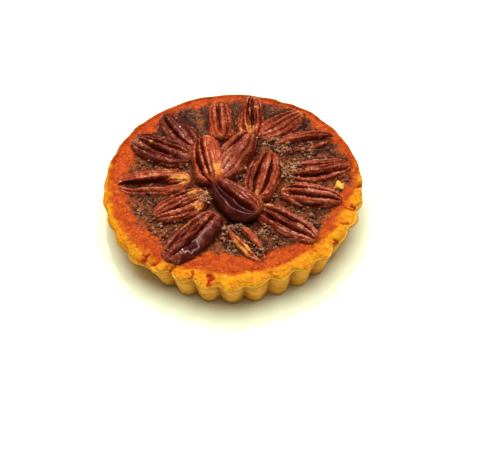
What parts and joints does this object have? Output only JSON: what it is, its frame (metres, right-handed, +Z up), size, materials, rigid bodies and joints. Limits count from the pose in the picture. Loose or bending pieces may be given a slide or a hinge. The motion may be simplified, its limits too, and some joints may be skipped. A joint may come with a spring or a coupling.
{
  "type": "pecan pie",
  "caption": "Small round pecan pie: fluted golden shortcrust case, baked brown filling, and glossy pecan halves set in it like spokes, with more laid in the middle.",
  "frame": {"origin": "middle of the flat underside of the pie, on the surface it stands on", "axes": "+Z up out of the pie; +Y to its back, the side where the rim is narrow; X and Y lie in the underside"},
  "size_m": [0.1215, 0.1207, 0.0264],
  "materials": {
    "crust": "baked shortcrust pastry: matt gold, browner in the flutes and orange brown on its inner slope",
    "filling": "baked syrup filling: satin, orange pored skin near the rim, grainy grey brown between the nuts",
    "pecan": "roasted and glazed pecan: glossy red brown, wrinkled, darker in the grooves, tan where the skin is rubbed"
  },
  "bodies": {
    "root": {"crust": "crust", "filling": "filling", "pecan_01": "pecan", "pecan_02": "pecan", "pecan_03": "pecan", "pecan_04": "pecan", "pecan_05": "pecan", "pecan_06": "pecan", "pecan_07": "pecan", "pecan_08": "pecan", "pecan_09": "pecan", "pecan_10": "pecan", "pecan_11": "pecan", "pecan_12": "pecan", "pecan_13": "pecan", "pecan_14": "pecan", "pecan_15": "pecan", "pecan_16": "pecan", "pecan_17": "pecan"}
  },
  "joints": []
}
